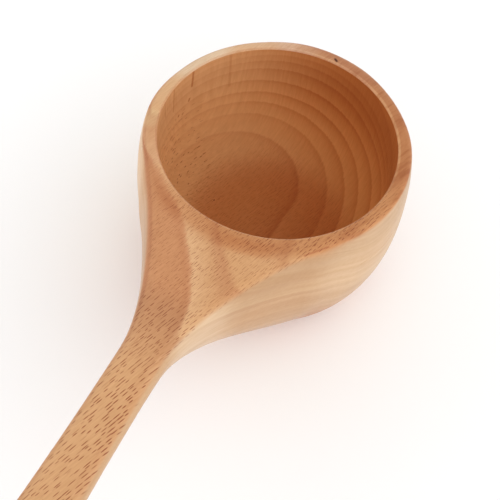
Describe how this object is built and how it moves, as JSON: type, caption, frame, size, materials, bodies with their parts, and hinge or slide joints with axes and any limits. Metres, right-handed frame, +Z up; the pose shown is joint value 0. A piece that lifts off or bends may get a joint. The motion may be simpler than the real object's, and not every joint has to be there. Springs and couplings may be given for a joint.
{
  "type": "bath ladle",
  "caption": "Wooden bath ladle with a deep round cup, a flat base, and a flared neck that runs flush from the rim into a straight grip.",
  "frame": {"origin": "centre of the flat base", "axes": "+Z up through the mouth of the cup, +X along the grip"},
  "size_m": [0.2856, 0.123, 0.078],
  "materials": {
    "beech": "fine sanded, thin satin oil"
  },
  "bodies": {
    "root": {"rim_and_handle_board": "beech", "wall_board": "beech", "floor_board": "beech"}
  },
  "joints": []
}
